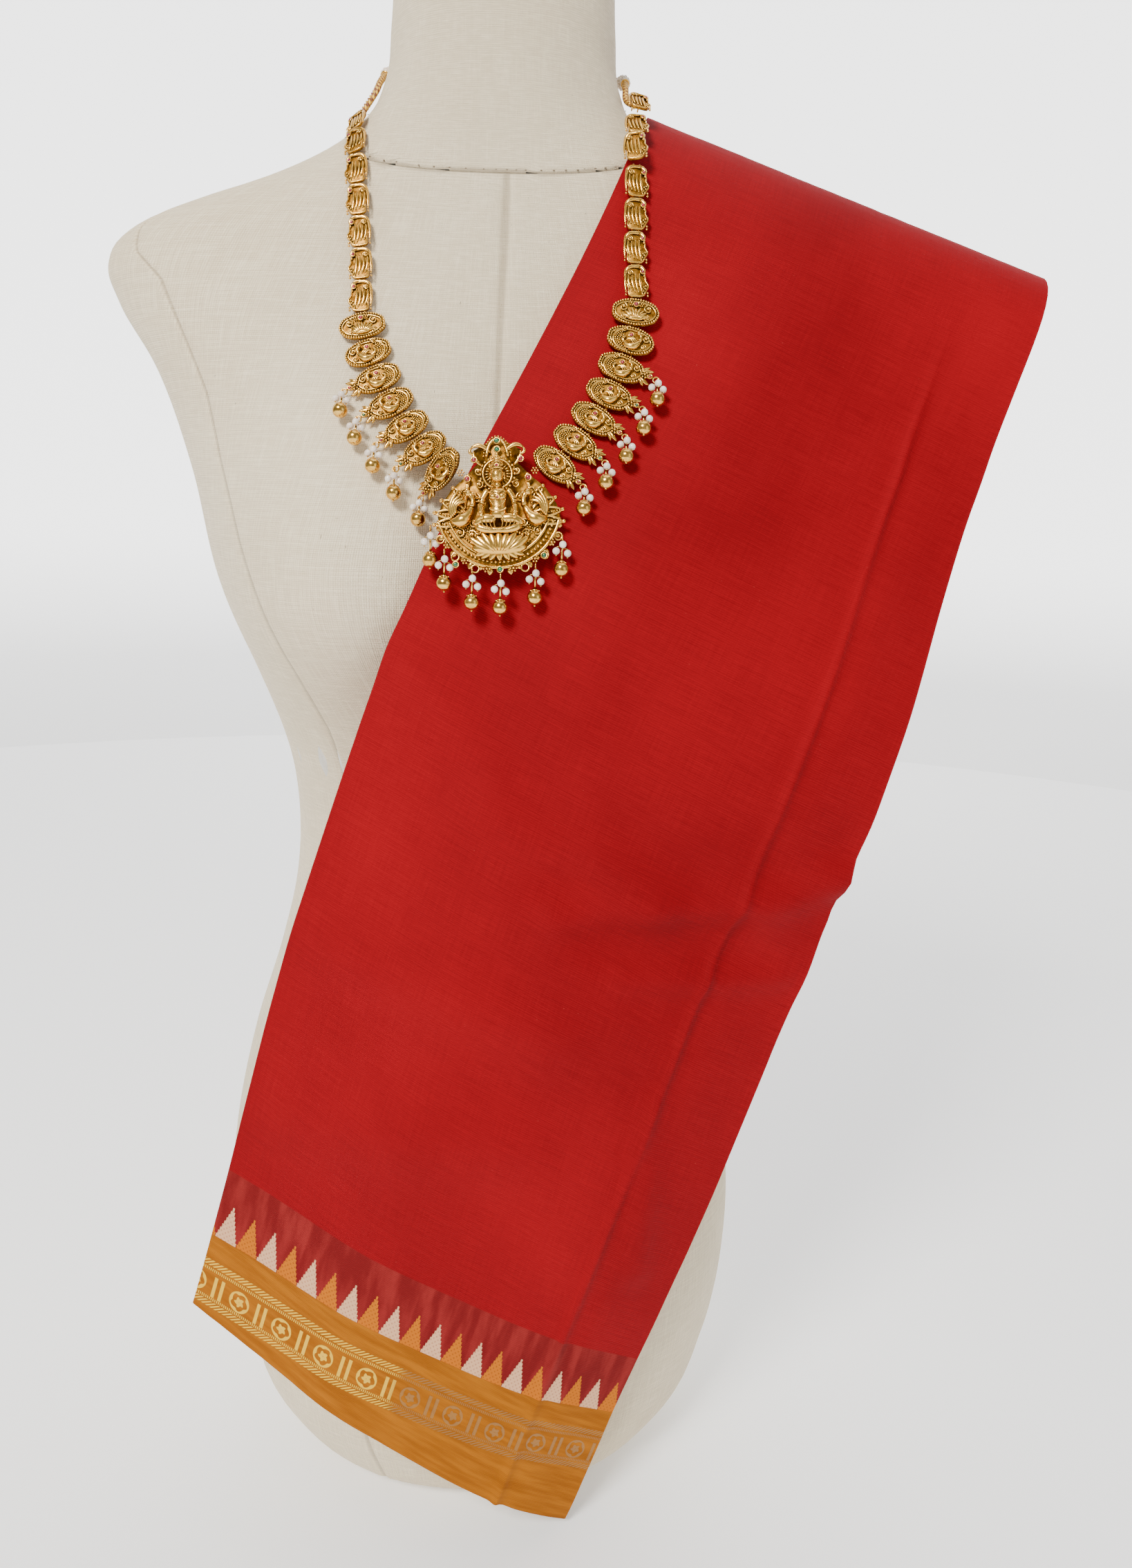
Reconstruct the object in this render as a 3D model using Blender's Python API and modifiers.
"""A shop's display torso: a linen dress form, a folded saree over one shoulder and a temple necklace.

Metres, +Z up, +X to the viewer's right, and the form looks along -Y. The origin is the middle of the
form's flat base, where it stands on a counter.
"""

import math

import bmesh
import bpy
import numpy as np
from mathutils import Matrix, Vector

# ---------------------------------------------------------------- driving dimensions
MM = 0.001

# The form's cross-sections: height, half width, depth in front of and behind the middle.
STATIONS = np.array(
    [
        (0.000, 0.0880, 0.0760, 0.0820),
        (0.008, 0.1010, 0.0870, 0.0950),
        (0.030, 0.1220, 0.0980, 0.1120),
        (0.070, 0.1370, 0.1030, 0.1240),
        (0.130, 0.1450, 0.1040, 0.1290),
        (0.190, 0.1410, 0.1000, 0.1180),
        (0.250, 0.1290, 0.0930, 0.0990),
        (0.300, 0.1135, 0.0850, 0.0830),
        (0.345, 0.1040, 0.0800, 0.0750),
        (0.400, 0.1050, 0.0840, 0.0770),
        (0.450, 0.1200, 0.0920, 0.0850),
        (0.500, 0.1400, 0.0980, 0.0920),
        (0.550, 0.1530, 0.0940, 0.0970),
        (0.600, 0.1720, 0.0830, 0.0970),
        (0.628, 0.1890, 0.0730, 0.0920),
        (0.645, 0.1940, 0.0660, 0.0860),
        (0.657, 0.1880, 0.0620, 0.0820),
        (0.666, 0.1740, 0.0590, 0.0790),
        (0.675, 0.1490, 0.0565, 0.0750),
        (0.686, 0.1150, 0.0545, 0.0700),
        (0.700, 0.0830, 0.0530, 0.0650),
        (0.714, 0.0650, 0.0525, 0.0610),
        (0.730, 0.0565, 0.0520, 0.0570),
        (0.755, 0.0535, 0.0515, 0.0545),
        (0.800, 0.0520, 0.0515, 0.0525),
    ]
)
SECTION_POWER = 2.2  # 2 is an ellipse, more is squarer
BUST_X, BUST_Z, BUST_DEPTH = 0.078, 0.492, 0.040
BUST_WIDTH, BUST_ABOVE, BUST_BELOW = 0.042, 0.052, 0.036
FORM_TOP = 0.800
SEGMENTS = 24  # round the form
COVER = 1.0 * MM  # linen with its padding
SHELL_GAP, SHELL_THICK = 1.9 * MM, 4.0 * MM  # the moulded shell: below the cover's outside, and its wall
SEAM_Z, SEAM_SLOPE = 0.7255, 0.80  # the neck seam's plane: z = SEAM_Z + SEAM_SLOPE * y
SEAM_GAP = 0.4 * MM

BASE_THICK = 12 * MM
CLEAR = 0.4 * MM  # between pieces that rest on each other
CAP_RADIUS, CAP_THICK, CAP_WALL = 53.5 * MM, 12 * MM, 4 * MM
SPIGOT_RADIUS, SPIGOT_LENGTH = 44 * MM, 26 * MM

# The saree is folded into a strip that hangs square to a straight fold across the shoulder.
FOLD_END = Vector((0.267, 0.006, 0.6530))  # the fold's outer end, past the shoulder's tip
FOLD_ANGLE = math.radians(18.1)
ACROSS = Vector((math.cos(FOLD_ANGLE), 0, -math.sin(FOLD_ANGLE)))
DOWN = Vector((-math.sin(FOLD_ANGLE), 0, -math.cos(FOLD_ANGLE)))
NECK_SIDE, WIDEST, TAPER = 0.207, 0.234, 0.011  # the strip's width at the fold, lower down, and its taper
FALL_LEFT, FALL_RIGHT = 0.604, 0.683  # front fall along its two edges
BACK_FALL = 0.470
TURN_BACK, CREASE, CREASED_TURN = 0.13, 0.80, 0.40  # most slope across it, where it creases, slope past that
FOLD_RADIUS = 0.030  # the layers bend round this over the shoulder
CLOTH = 6.0 * MM  # all the layers pressed together
CLOTH_REST = 2.6 * MM  # air under the cloth
CLOTH_MARGIN = 2.5 * MM  # how far round its left edge other pieces keep clear
STRIP_ROWS, STRIP_COLUMNS = 28, 12

# The necklace lies in a plane curve (sideways, up) from its middle, then leans a little.
MIDDLE = (0.0050, 0.6185)
LEAN = math.radians(3.5)
STRAND = [
    (0.0640, 0.0955),
    (0.0622, 0.0560),
    (0.0602, 0.0165),
    (0.0597, -0.0060),
    (0.0560, -0.0195),
    (0.0447, -0.0425),
    (0.0253, -0.0655),
    (0.0190, -0.0715),
]
SLIM_LINKS, MEDALLIONS = 7, 7
SLIM_SHARE = 0.545  # the slim links' part of a strand's length
SLIM_WIDTH, SLIM_THICK = 12.0 * MM, 2.4 * MM
MEDALLION_WIDTH, MEDALLION_THICK = 19.0 * MM, 3.0 * MM
LINK_GAP = 1.3 * MM
STRAND_REST = 2.0 * MM  # the links' backs to what they lie on
STRAND_TOP_DEPTH = 0.024  # how far forward each strand starts
PENDANT_CENTRE = -0.0835  # up from the necklace's middle
PENDANT_RADIUS, PENDANT_THICK = 29.0 * MM, 3.2 * MM
# The pendant's right shoulder and crown above its round lower part.
CROWN = [(26.0, 2.0), (21.0, 8.5), (13.5, 14.0), (8.5, 19.5), (11.0, 24.5), (3.5, 29.0)]
ARM_REACH, ARM_WIDTH = 15.5 * MM, 0.20  # a medallion's side arm: its length, and its width in radians
FIRST_ARM = 3  # the topmost medallion with a side arm and a drop
PENDANT_DROPS = (-72, -50, -23, 0, 29, 60)  # degrees round the rim from straight down
RIM_STEP = 1.0 * MM  # from a rim or an arm's end to a drop's hook
BALL_RADIUS, PIN_RADIUS = 3.3 * MM, 0.8 * MM
SIDE_DROP, PENDANT_DROP = 10.0 * MM, 13.0 * MM  # from a hook to its ball's middle
HOOK_GAP = 0.9 * MM  # from a drop's hook to its top
DROP_REST = 1.2 * MM

CORD_RADIUS = 1.6 * MM
CORD_REST = 1.0 * MM
BEAD_RADIUS, BEAD_HALF, BEAD_ANGLE = 4.2 * MM, 4.0 * MM, 78  # degrees round the neck from its back
SLIDER_RADIUS, SLIDER_HALF, SLIDER_TRAVEL = 4.6 * MM, 4.5 * MM, 9 * MM
SLIDER_SPARE = 3 * MM  # straight cord past each end of the travel
THREAD_HOLE = CORD_RADIUS + 0.7 * MM
# The cord's heights round the neck, by degrees from its back.
CORD_HEIGHTS = [(40, 0.7530), (62, 0.748), (78, 0.742), (92, 0.7335), (104, 0.7245)]
CORD_BACK = 0.755

LINEN = (0.80, 0.76, 0.66)
MOULDED = (0.86, 0.85, 0.80)
PLYWOOD = (0.62, 0.47, 0.30)
RED = (0.62, 0.012, 0.016)
GOLD = (0.83, 0.58, 0.20)
THREAD = (0.72, 0.50, 0.14)
PEARL = (0.88, 0.84, 0.78)


# ---------------------------------------------------------------- small helpers
def material(name, colour, roughness, metallic=0.0):
    made = bpy.data.materials.new(name)
    made.use_nodes = True
    shader = made.node_tree.nodes["Principled BSDF"]
    shader.inputs["Base Color"].default_value = (*colour, 1)
    shader.inputs["Roughness"].default_value = roughness
    shader.inputs["Metallic"].default_value = metallic
    return made


def add(name, data, finish, collection):
    made = bpy.data.objects.new(name, data)
    made.data.materials.append(finish)
    collection.objects.link(made)
    return made


def mesh_from(bm, name, smooth=True):
    bmesh.ops.recalc_face_normals(bm, faces=bm.faces)
    data = bpy.data.meshes.new(name)
    bm.to_mesh(data)
    bm.free()
    if smooth:
        data.shade_smooth()
        data.set_sharp_from_angle(angle=math.radians(40))
    return data


def grid_faces(bm, rows, wrap=False):
    """Faces between neighbouring rows of vertices."""
    for one, two in zip(rows, rows[1:]):
        count = len(one)
        for i in range(count if wrap else count - 1):
            j = (i + 1) % count
            bm.faces.new((one[i], one[j], two[j], two[i]))


def turned(name, profile, steps, finish, collection, closed=False):
    """A profile of (radius, height) points, from top to bottom, turned about its own Z axis."""
    bm = bmesh.new()
    points = [bm.verts.new((radius, 0, height)) for radius, height in profile]
    pairs = list(zip(points, points[1:])) + ([(points[-1], points[0])] if closed else [])
    for pair in pairs:
        bm.edges.new(pair)
    data = bpy.data.meshes.new(name)
    bm.to_mesh(data)
    bm.free()
    made = add(name, data, finish, collection)
    screw = made.modifiers.new("turn", "SCREW")
    screw.steps = screw.render_steps = steps
    screw.use_merge_vertices = True
    screw.merge_threshold = 0.00001
    screw.use_smooth_shade = True
    return made


def plate(name, outline, thickness, finish, collection, matrix):
    """A flat outline with its back face on the matrix's XY plane and its front towards +Z."""
    curve = bpy.data.curves.new(name, "CURVE")
    curve.dimensions = "2D"
    curve.fill_mode = "BOTH"
    curve.extrude = thickness / 2
    spline = curve.splines.new("POLY")
    spline.points.add(len(outline) - 1)
    for point, (x, y) in zip(spline.points, outline):
        point.co = (x, y, 0, 1)
    spline.use_cyclic_u = True
    made = add(name, curve, finish, collection)
    made.matrix_world = matrix @ Matrix.Translation((0, 0, thickness / 2))
    return made


def hinge(name, place, pieces, collection):
    """Parents the pieces to an empty on their hinge's axis, without moving them."""
    axis = bpy.data.objects.new(f"{name}_hinge", None)
    collection.objects.link(axis)
    axis.location = place
    for piece in pieces:
        piece.parent = axis
        piece.matrix_parent_inverse = Matrix.Translation(place).inverted()


def wire(name, points, radius, finish, collection):
    curve = bpy.data.curves.new(name, "CURVE")
    curve.dimensions = "3D"
    curve.bevel_depth = radius
    curve.bevel_resolution = 2
    curve.use_fill_caps = True
    spline = curve.splines.new("POLY")
    spline.points.add(len(points) - 1)
    for point, place in zip(spline.points, points):
        point.co = (*place, 1)
    return add(name, curve, finish, collection)


def smooth_through(points, count):
    """Evenly spaced points on a smooth curve through the given ones."""
    given = np.array(points, float)
    along = np.concatenate([[0], np.cumsum(np.linalg.norm(np.diff(given, axis=0), axis=1))])
    fine = np.linspace(0, along[-1], 400)
    curve = np.stack([hermite(along, given[:, k], fine) for k in range(given.shape[1])], axis=1)
    length = np.concatenate([[0], np.cumsum(np.linalg.norm(np.diff(curve, axis=0), axis=1))])
    wanted = np.linspace(0, length[-1], count)
    return np.stack([np.interp(wanted, length, curve[:, k]) for k in range(given.shape[1])], axis=1)


def hermite(xs, ys, x):
    """Smooth values at x through the points (xs, ys)."""
    slopes = np.gradient(ys, xs)
    i = np.clip(np.searchsorted(xs, x) - 1, 0, len(xs) - 2)
    span = xs[i + 1] - xs[i]
    t = np.clip((x - xs[i]) / span, 0, 1)
    return (
        (2 * t**3 - 3 * t**2 + 1) * ys[i]
        + (t**3 - 2 * t**2 + t) * span * slopes[i]
        + (3 * t**2 - 2 * t**3) * ys[i + 1]
        + (t**3 - t**2) * span * slopes[i + 1]
    )


def taut(places, depths):
    """The depths of a string pulled tight over the given ones."""
    corners = []
    for place, depth in zip(places, depths):
        while len(corners) > 1:
            (x0, y0), (x1, y1) = corners[-2:]
            if (y1 - y0) * (place - x0) > (depth - y0) * (x1 - x0):
                break
            corners.pop()
        corners.append((place, depth))
    return np.interp(places, *zip(*corners))


def step(x):
    x = np.clip(x, 0, 1)
    return x * x * (3 - 2 * x)


# ---------------------------------------------------------------- the form's shape
def section(z):
    """Half width, front depth and back depth of the form at a height."""
    z = np.clip(z, 0, FORM_TOP)
    return tuple(hermite(STATIONS[:, 0], STATIONS[:, k], z) for k in (1, 2, 3))


def bust(x, z):
    spread = np.where(z > BUST_Z, BUST_ABOVE, BUST_BELOW)
    up = np.exp(-(((z - BUST_Z) / spread) ** 2) / 2)
    return BUST_DEPTH * up * np.exp(-(((np.abs(x) - BUST_X) / BUST_WIDTH) ** 2) / 2)


def reach(x, half_width):
    inside = np.clip(1 - (np.abs(x) / half_width) ** SECTION_POWER, 0, 1)
    return inside ** (1 / SECTION_POWER)


def front_depth(x, z):
    """How far the form stands forward of y = 0 at (x, z), 0 beyond its outline."""
    half_width, front, _ = section(z)
    r = reach(x, half_width)
    return np.where(z < FORM_TOP, front * r + bust(x, z) * np.sqrt(r), 0)


def back_depth(x, z):
    half_width, _, back = section(z)
    return np.where(z < FORM_TOP, back * reach(x, half_width), 0)


def form_levels():
    """Heights of the skin's rings, closer together where the outline turns."""
    low = [0, 0.004, 0.010, 0.020, 0.036, 0.060, 0.095, 0.135, 0.180, 0.225, 0.270, 0.310, 0.350]
    middle = [0.390, 0.430, 0.462, 0.492, 0.522, 0.555, 0.590, 0.618, 0.636, 0.648, 0.658]
    high = [0.668, 0.678, 0.688, 0.699, 0.712, 0.728, 0.750, 0.775, FORM_TOP]
    return low + middle + high


def skin():
    """The form's outer surface, open at the base and at the neck's top."""
    bm = bmesh.new()
    rings = []
    power = 2 / SECTION_POWER
    for z in form_levels():
        half_width, front, back = section(z)
        ring = []
        for i in range(SEGMENTS):
            angle = 2 * math.pi * i / SEGMENTS
            c, s = math.cos(angle), math.sin(angle)
            x = half_width * math.copysign(abs(c) ** power, c)
            deep = abs(s) ** power
            y = back * deep if s > 0 else -front * deep - float(bust(x, z)) * math.sqrt(deep)
            ring.append(bm.verts.new((x, y, z)))
        rings.append(ring)
    grid_faces(bm, rings, wrap=True)
    bmesh.ops.recalc_face_normals(bm, faces=bm.faces)
    return bm


def linen_cover(name, keep_above, finish, collection):
    """The linen on one side of the neck seam, as a shell."""
    bm = skin()
    shift = SEAM_GAP / 2 if keep_above else -SEAM_GAP / 2
    normal = Vector((0, -SEAM_SLOPE, 1)).normalized()
    bmesh.ops.bisect_plane(
        bm,
        geom=bm.verts[:] + bm.edges[:] + bm.faces[:],
        plane_co=Vector((0, 0, SEAM_Z)) + normal * shift,
        plane_no=normal,
        clear_inner=keep_above,
        clear_outer=not keep_above,
    )
    bmesh.ops.remove_doubles(bm, verts=bm.verts, dist=0.2 * MM)
    data = mesh_from(bm, name)
    made = add(name, data, finish, collection)
    shell = made.modifiers.new("cloth", "SOLIDIFY")
    shell.thickness = COVER
    shell.offset = -1
    return made


def form_shell(finish, collection):
    """The moulded shell inside the linen, open where the base plate and the neck's cap close it."""
    bm = skin()
    for vertex in bm.verts:
        vertex.co -= vertex.normal * SHELL_GAP
    for height, below in ((BASE_THICK + CLEAR, True), (FORM_TOP - CLEAR, False)):
        bmesh.ops.bisect_plane(
            bm,
            geom=bm.verts[:] + bm.edges[:] + bm.faces[:],
            plane_co=(0, 0, height),
            plane_no=(0, 0, 1),
            clear_inner=below,
            clear_outer=not below,
        )
    made = add("form_shell", mesh_from(bm, "form_shell"), finish, collection)
    wall = made.modifiers.new("wall", "SOLIDIFY")
    wall.thickness = SHELL_THICK
    wall.offset = -1
    return made


def base_plate(finish, collection):
    """The plywood plate that the form stands on, inside the linen's lower edge."""
    half_width, front, back = section(0)
    inset = COVER + 1.4 * MM
    power = 2 / SECTION_POWER
    outline = []
    for i in range(SEGMENTS):
        angle = 2 * math.pi * i / SEGMENTS
        c, s = math.cos(angle), math.sin(angle)
        deep = (back if s > 0 else front) - inset
        x = (half_width - inset) * math.copysign(abs(c) ** power, c)
        outline.append((x, deep * math.copysign(abs(s) ** power, s)))
    return plate("base_plate", outline, BASE_THICK, finish, collection, Matrix())


def neck_cap(finish, collection):
    """The cap that closes the neck, with the ring below it that fits inside the shell."""
    low = FORM_TOP + CLEAR
    inner = SPIGOT_RADIUS - CAP_WALL
    profile = [
        (0, low + CAP_THICK),
        (CAP_RADIUS * 0.72, low + CAP_THICK * 0.94),
        (CAP_RADIUS * 0.93, low + CAP_THICK * 0.72),
        (CAP_RADIUS, low + CAP_THICK * 0.36),
        (CAP_RADIUS * 0.985, low),
        (SPIGOT_RADIUS, low),
        (SPIGOT_RADIUS, low - SPIGOT_LENGTH),
        (inner, low - SPIGOT_LENGTH),
        (inner, low + CAP_THICK - CAP_WALL),
        (0, low + CAP_THICK - CAP_WALL),
    ]
    return turned("neck_cap", profile, SEGMENTS, finish, collection)


# ---------------------------------------------------------------- the saree
def left_edge(down):
    """How far the strip's left edge lies to the left of FOLD_END, at a distance down from the fold."""
    return NECK_SIDE + (WIDEST - NECK_SIDE) * step(down / 0.30) - TAPER * step((down - 0.38) / 0.26)


def strip_point(share, down):
    """(x, z) of the strip at a share of its width from the left, at a distance down from the fold."""
    place = FOLD_END - ACROSS * float(left_edge(down) * (1 - share)) + DOWN * float(down)
    return place.x, place.z


def over_fold(down):
    """The depth of the bend over the shoulder at a distance down from its top."""
    return FOLD_RADIUS * math.sqrt(1 - (1 - min(down / FOLD_RADIUS, 1)) ** 2)


def strip_downs():
    """The rows' shares of the fall, closer together near the fold."""
    return np.linspace(0, 1, STRIP_ROWS + 1) ** 1.35


def drape(depth_at, fall):
    """Depths of the hanging strip, one row for each step down and one column across."""
    shares = np.linspace(0, 1, STRIP_COLUMNS + 1)
    downs = strip_downs()
    depths = np.zeros((len(downs), len(shares)))
    for column, share in enumerate(shares):
        length = fall(share)
        places = [strip_point(share, d * length) for d in downs]
        bends = [over_fold(d * length) for d in downs]
        under = np.array([max(bend, float(depth_at(x, z))) for bend, (x, z) in zip(bends, places)])
        under[0] = 0
        lowest = int(np.argmax(under))
        under[lowest:] = under[lowest]
        depths[:, column] = taut(downs * length, under)
    for row in range(1, len(downs)):
        depths[row] = stiff_across(shares, taut(shares, depths[row]), downs[row])
    for _ in range(6):
        inner = (depths[1:-1, :-2] + 2 * depths[1:-1, 1:-1] + depths[1:-1, 2:]) / 4
        depths[1:-1, 1:-1] = np.maximum(inner, depths[1:-1, 1:-1])
    return depths


def stiff_across(shares, depths, down):
    """The depths across one row when the pressed layers can turn back only a little from where they rest."""
    bends = shares * TURN_BACK + np.maximum(shares - CREASE, 0) * (CREASED_TURN - TURN_BACK)
    falls = np.abs(bends[:, None] - bends[None, :]) * WIDEST
    held = np.max(depths[None, :] - falls, axis=1)
    return depths + (np.maximum(held, depths) - depths) * step(down / 0.45)


def front_length(share):
    return FALL_LEFT + (FALL_RIGHT - FALL_LEFT) * share


def back_length(share):
    return BACK_FALL


class Strip:
    """The cloth's inner surface over the shoulder: its depths in front and behind."""

    def __init__(self):
        self.front = drape(front_depth, front_length)
        self.back = drape(back_depth, back_length)

    def depth(self, x, z):
        """The cloth's outer depth in front at (x, z), or 0 off the strip."""
        offset = Vector((x, 0, z)) - Vector((FOLD_END.x, 0, FOLD_END.z))
        side, down = offset.dot(ACROSS), offset.dot(DOWN)
        share = 1 + side / float(left_edge(down))
        margin = CLOTH_MARGIN / WIDEST
        if not -margin <= share <= 1 or not 0 <= down <= front_length(share):
            return 0.0
        columns = np.linspace(0, 1, STRIP_COLUMNS + 1)
        rows = [np.interp(share, columns, row) for row in self.front]
        near = [down - CLOTH, down, down + CLOTH]
        above, here, below = np.interp(np.array(near) / front_length(share), strip_downs(), rows)
        slope = min((below - above) / (2 * CLOTH), 2.0)
        return float(here + CLOTH_REST + CLOTH * math.hypot(1, slope))

    def rows(self):
        """Rows of points along the cloth's inner surface, from the front hem over to the back hem."""
        found = []
        shares = np.linspace(0, 1, STRIP_COLUMNS + 1)
        downs = strip_downs()
        for depths, length, way in ((self.front, front_length, -1), (self.back, back_length, 1)):
            lines = []
            for row, down in enumerate(downs):
                away = CLOTH_REST * min(1, row / 2)
                line = []
                for column, share in enumerate(shares):
                    x, z = strip_point(share, length(share) * down)
                    line.append((x, way * (depths[row, column] + away), z))
                lines.append(line)
            found = lines[::-1] if way < 0 else found + lines[1:]
        return found


def saree(strip, finish, collection):
    bm = bmesh.new()
    rows = [[bm.verts.new(place) for place in line] for line in strip.rows()]
    grid_faces(bm, rows)
    data = mesh_from(bm, "saree_folded")
    made = add("saree_folded", data, finish, collection)
    middle = data.polygons[len(data.polygons) // 4]
    thick = made.modifiers.new("layers", "SOLIDIFY")
    thick.thickness = CLOTH
    thick.offset = 1 if middle.normal.y < 0 else -1
    return made


# ---------------------------------------------------------------- the necklace's layout
def lean(sideways, up):
    """(x, z) of a place given from the necklace's middle."""
    c, s = math.cos(LEAN), math.sin(LEAN)
    return MIDDLE[0] + sideways * c - up * s, MIDDLE[1] + sideways * s + up * c


class Support:
    """What the necklace lies on: the form, and the cloth where it covers the form."""

    def __init__(self, strip):
        self.strip = strip

    def depth(self, x, z):
        return max(float(front_depth(x, z)), self.strip.depth(x, z))

    def normal(self, x, z, spread=0.010):
        across = self.depth(x + spread, z) - self.depth(x - spread, z)
        upward = self.depth(x, z + spread) - self.depth(x, z - spread)
        return Vector((-across / (2 * spread), -1, -upward / (2 * spread))).normalized()


def ridge_over(support, x, z, sideways, half_width):
    """The depth at (x, z) at which a straight bar half_width long each way clears what it lies on."""
    here = support.depth(x, z)
    one, two = (support.depth(x + s * sideways[0], z + s * sideways[1]) for s in (half_width, -half_width))
    return max(here, (one + two) / 2)


def pivots(support, side):
    """The hinge points down one strand, from the cord to the pendant. side is -1 left, 1 right."""
    flat = smooth_through([(side * p, q) for p, q in STRAND], 90)
    places = np.array([lean(p, q) for p, q in flat])
    ahead = np.gradient(places, axis=0)
    ahead /= np.linalg.norm(ahead, axis=1)[:, None]
    depths = []
    for (x, z), (a, b) in zip(places, ahead):
        depths.append(ridge_over(support, x, z, (-b, a), MEDALLION_WIDTH / 2))
    depths[0] = max(depths[0], STRAND_TOP_DEPTH)
    along = np.concatenate([[0], np.cumsum(np.linalg.norm(np.diff(flat, axis=0), axis=1))])
    tight = taut(along, depths) + STRAND_REST
    curve = np.array([(x, -depth, z) for (x, z), depth in zip(places, tight)])
    length = np.concatenate([[0], np.cumsum(np.linalg.norm(np.diff(curve, axis=0), axis=1))])
    slim = np.linspace(0, SLIM_SHARE, SLIM_LINKS + 1)
    wide = np.linspace(SLIM_SHARE, 1, MEDALLIONS + 1)[1:]
    wanted = np.concatenate([slim, wide]) * length[-1]
    return [Vector([np.interp(w, length, curve[:, k]) for k in range(3)]) for w in wanted]


def link_frame(support, top, bottom):
    """A link's frame: its back face's middle, X sideways, Y up the strand, Z away from the chest."""
    centre = (top + bottom) / 2
    up = (top - bottom).normalized()
    away = support.normal(centre.x, centre.z, MEDALLION_WIDTH / 2)
    sideways = up.cross(away).normalized()
    away = sideways.cross(up)
    return Matrix.Translation(centre) @ Matrix((sideways, up, away)).transposed().to_4x4()


def clear_of(support, frame, outline, gap):
    """The frame moved away from the chest until a plate of this outline clears it by the gap."""
    away = frame.to_3x3() @ Vector((0, 0, 1))
    lift = 0.0
    for x, y in outline:
        for share in (0, 0.25, 0.5, 0.75, 1):
            place = frame @ Vector((x * share, y * share, 0))
            inside = place.y + support.depth(place.x, place.z) + gap
            lift = max(lift, inside / max(-away.y, 0.5))
    return Matrix.Translation(away * lift) @ frame


def rounded(half_width, half_height, count, power, petals=0, bulge=0.0, lobes=()):
    """An outline round the origin. lobes are (direction, length, width) arms in radians and metres."""
    outline = []
    for i in range(count):
        angle = 2 * math.pi * i / count
        c, s = abs(math.cos(angle)), abs(math.sin(angle))
        radius = ((c / half_width) ** power + (s / half_height) ** power) ** (-1 / power)
        radius *= 1 + bulge * math.cos(petals * angle)
        for direction, length, width in lobes:
            off = math.remainder(angle - direction, 2 * math.pi)
            radius = max(radius, length * math.exp(-((off / width) ** 2)))
        outline.append((radius * math.cos(angle), radius * math.sin(angle)))
    return outline


def pendant_frame(support):
    """The pendant's frame: its back face's middle, Y up its own middle line, Z away from the chest."""
    x, z = lean(0, PENDANT_CENTRE)
    away = support.normal(x, z, PENDANT_RADIUS * 0.8)
    away = Vector((0, away.y, away.z)).normalized()
    up = Vector((-math.sin(LEAN), 0, math.cos(LEAN)))
    sideways = up.cross(away).normalized()
    turn = Matrix((sideways, away.cross(sideways), away)).transposed().to_4x4()
    return Matrix.Translation((x, -support.depth(x, z), z)) @ turn


def hang(support, hook, length):
    """Which way a drop hangs from its hook: straight down, or leaning on the chest."""
    forward = 0.0
    for _ in range(3):
        low = hook.z - math.sqrt(length**2 - forward**2)
        need = max(support.depth(hook.x, low), support.depth(hook.x, low - BALL_RADIUS))
        need += BALL_RADIUS + DROP_REST + hook.y
        forward = min(max(need, 0), length * 0.8)
    return Vector((0, -forward, -math.sqrt(length**2 - forward**2))).normalized()


def drop(name, support, hook, length, finish, collection):
    """A gold ball under its pin, hanging from a hook."""
    ball = -length
    profile = [(0, -HOOK_GAP), (PIN_RADIUS, -1.5 * HOOK_GAP), (PIN_RADIUS, ball + 1.2 * BALL_RADIUS)]
    for degrees in (58, 20, -20, -58):
        angle = math.radians(degrees)
        profile.append((BALL_RADIUS * math.cos(angle), ball + BALL_RADIUS * math.sin(angle)))
    profile.append((0, ball - BALL_RADIUS))
    made = turned(name, profile, 8, finish, collection)
    turn = Vector((0, 0, -1)).rotation_difference(hang(support, hook, length)).to_matrix().to_4x4()
    made.matrix_world = Matrix.Translation(hook) @ turn
    return made


# ---------------------------------------------------------------- the necklace's pieces
def slim_outline(pitch):
    return rounded(SLIM_WIDTH / 2, (pitch - LINK_GAP) / 2, 14, 3.2)


def medallion_outline(pitch, arms):
    lobes = [(direction, ARM_REACH, ARM_WIDTH) for direction in arms]
    half = (pitch - LINK_GAP) / 2
    return rounded(MEDALLION_WIDTH / 2, half, 24, 3.0, petals=8, bulge=-0.02, lobes=lobes)


def strand(support, side, finish, collection):
    """One side's links. Returns its hinge points and its drops' hooks."""
    word = "left" if side < 0 else "right"
    points = pivots(support, side)
    hooks = []
    for number, (top, bottom) in enumerate(zip(points, points[1:]), 1):
        frame = link_frame(support, top, bottom)
        pitch = (top - bottom).length
        order = number - SLIM_LINKS
        outboard = 0 if side > 0 else math.pi
        arms = [outboard] if order >= FIRST_ARM else []
        if order < 1:
            name, outline, thick = f"{word}_link_{number}", slim_outline(pitch), SLIM_THICK
        else:
            name, outline, thick = f"{word}_medallion_{order}", medallion_outline(pitch, arms), MEDALLION_THICK
        frame = clear_of(support, frame, outline, STRAND_REST * 0.7)
        made = plate(name, outline, thick, finish, collection, frame)
        hinge(name, top, [made], collection)
        for arm in arms:
            reach = ARM_REACH + RIM_STEP
            tip = frame @ Vector((reach * math.cos(arm), reach * math.sin(arm), MEDALLION_THICK / 2))
            hooks.append((f"{word}_drop_{len(hooks) + 1}", tip, SIDE_DROP))
    return points, hooks


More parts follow.
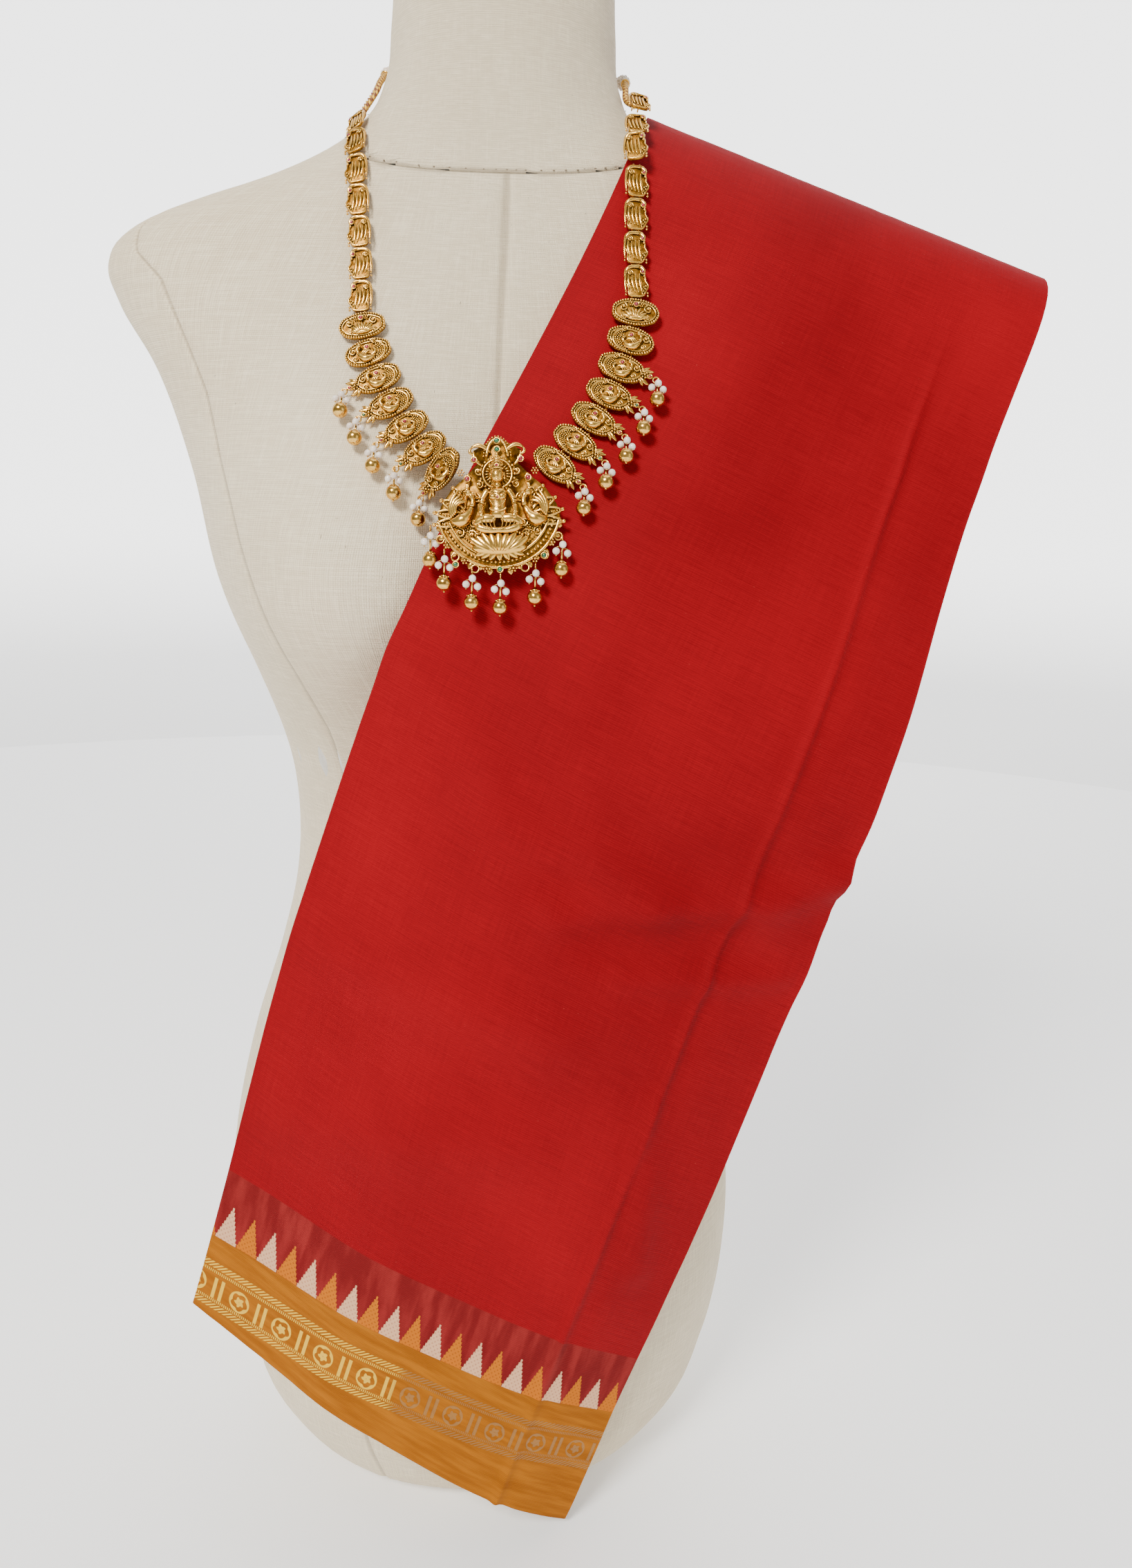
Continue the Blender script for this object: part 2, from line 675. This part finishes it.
def pendant_outline():
    """The pendant's plate: round below, with a shoulder each side and a crown."""
    turns = [math.radians(degrees) for degrees in range(-168, -11, 13)]
    lower = [(PENDANT_RADIUS * math.cos(a), PENDANT_RADIUS * math.sin(a)) for a in turns]
    right = [(x * MM, y * MM) for x, y in CROWN]
    return lower + right + [(-x, y) for x, y in right[::-1]]


def pendant_figure(frame, finish, collection, helpers):
    """The seated figure on its flower, raised on the pendant's plate."""
    front = PENDANT_THICK + CLEAR
    parts = [
        ("seat", (0, -15.5 * MM, front + 2.4 * MM), (13.5 * MM, 6.0 * MM, 2.4 * MM)),
        ("lap", (0, -7.5 * MM, front + 2.2 * MM), (11.0 * MM, 4.4 * MM, 2.2 * MM)),
        ("body", (0, 0.5 * MM, front + 2.4 * MM), (6.4 * MM, 8.6 * MM, 2.4 * MM)),
        ("head", (0, 11.0 * MM, front + 3.0 * MM), (4.6 * MM, 5.4 * MM, 3.0 * MM)),
    ]
    made = None
    for name, centre, radii in parts:
        bm = bmesh.new()
        bmesh.ops.create_uvsphere(bm, u_segments=12, v_segments=6, radius=1)
        bmesh.ops.scale(bm, verts=bm.verts, vec=radii)
        bmesh.ops.translate(bm, verts=bm.verts, vec=centre)
        data = mesh_from(bm, "pendant_figure" if made is None else "figure_" + name)
        if made is None:
            made = add("pendant_figure", data, finish, collection)
            made.matrix_world = frame
            continue
        helper = add("figure_" + name, data, finish, helpers)
        helper.matrix_world = frame
        helper.hide_render = True
        helper.display_type = "WIRE"
        join = made.modifiers.new("join_" + name, "BOOLEAN")
        join.operation = "UNION"
        join.object = helper
    return made


def round_neck(degrees, z):
    """A point beside the neck, at an angle from its back, far enough out for the cord and its beads."""
    half_width, front, back = section(z)
    angle = math.radians(degrees)
    power = 2 / SECTION_POWER
    c, s = math.cos(angle), math.sin(angle)
    deep = back if c > 0 else front
    surface = Vector((half_width * math.copysign(abs(s) ** power, s), deep * math.copysign(abs(c) ** power, c), z))
    bump = math.exp(-(((abs(degrees) - BEAD_ANGLE) / 14) ** 2)) * (BEAD_RADIUS - CORD_RADIUS)
    out = Vector((surface.x / half_width**2, surface.y / deep**2, 0)).normalized()
    return surface + out * (CORD_RADIUS + CORD_REST + bump)


def cord_route(left_top, right_top):
    """The thread from one strand's top round the back of the neck to the other's."""
    behind = section(CORD_BACK)[2] + SLIDER_RADIUS + CORD_REST
    straight = SLIDER_TRAVEL + SLIDER_SPARE + SLIDER_HALF
    left = [left_top] + [round_neck(-degrees, z) for degrees, z in CORD_HEIGHTS[::-1]]
    back = [Vector((x, behind, CORD_BACK)) for x in (-straight, -straight / 2, 0, straight / 2, straight)]
    right = [round_neck(degrees, z) for degrees, z in CORD_HEIGHTS] + [right_top]
    return smooth_through([tuple(p) for p in left + back + right], 49)


def bead(name, route, place, radius, half, finish, collection):
    """A bead threaded on the cord where it passes nearest to a place."""
    index = min(range(1, len(route) - 1), key=lambda i: (Vector(route[i]) - place).length)
    along = (Vector(route[index + 1]) - Vector(route[index - 1])).normalized()
    profile = [
        (THREAD_HOLE, half),
        (radius * 0.72, half),
        (radius, half * 0.35),
        (radius, -half * 0.35),
        (radius * 0.72, -half),
        (THREAD_HOLE, -half),
    ]
    made = turned(name, profile, 12, finish, collection, closed=True)
    turn = Vector((0, 0, 1)).rotation_difference(along).to_matrix().to_4x4()
    made.matrix_world = Matrix.Translation(route[index]) @ turn
    return made


def main():
    for old in list(bpy.data.objects):
        bpy.data.objects.remove(old)
    collection = bpy.data.collections.new("display_torso")
    helpers = bpy.data.collections.new("joined_shapes")
    for made in (collection, helpers):
        bpy.context.scene.collection.children.link(made)

    linen = material("linen", LINEN, 0.92)
    moulded = material("moulded_shell", MOULDED, 0.85)
    wood = material("plywood", PLYWOOD, 0.6)
    red = material("saree_cotton", RED, 0.8)
    gold = material("antique_gold", GOLD, 0.28, 1.0)
    thread = material("gold_thread", THREAD, 0.55, 0.3)
    pearl = material("pearl", PEARL, 0.3)

    linen_cover("linen_body_cover", False, linen, collection)
    linen_cover("linen_neck_cover", True, linen, collection)
    form_shell(moulded, collection)
    base_plate(wood, collection)
    neck_cap(linen, collection)

    strip = Strip()
    saree(strip, red, collection)

    support = Support(strip)
    left_points, left_hooks = strand(support, -1, gold, collection)
    right_points, right_hooks = strand(support, 1, gold, collection)
    outline = pendant_outline()
    frame = clear_of(support, pendant_frame(support), outline, STRAND_REST)
    pendant = plate("pendant_plate", outline, PENDANT_THICK, gold, collection, frame)
    figure = pendant_figure(frame, gold, collection, helpers)
    hinge("pendant", left_points[-1], [pendant, figure], collection)
    pendant_hooks = []
    for number, degrees in enumerate(PENDANT_DROPS, 1):
        angle = math.radians(degrees - 90)
        reach = PENDANT_RADIUS + RIM_STEP
        hook = frame @ Vector((reach * math.cos(angle), reach * math.sin(angle), PENDANT_THICK / 2))
        pendant_hooks.append((f"pendant_drop_{number}", hook, PENDANT_DROP))
    for name, hook, length in left_hooks + right_hooks + pendant_hooks:
        drop(name, support, hook, length, gold, collection)

    gap = Vector((0, 0.0020, 0.0022))
    route = cord_route(left_points[0] + gap, right_points[0] + gap)
    wire("neck_cord", route, CORD_RADIUS, thread, collection)
    bead("left_cord_bead", route, round_neck(-BEAD_ANGLE, 0.742), BEAD_RADIUS, BEAD_HALF, pearl, collection)
    bead("right_cord_bead", route, round_neck(BEAD_ANGLE, 0.742), BEAD_RADIUS, BEAD_HALF, pearl, collection)
    bead("cord_slider", route, Vector(route[len(route) // 2]), SLIDER_RADIUS, SLIDER_HALF, thread, collection)


main()
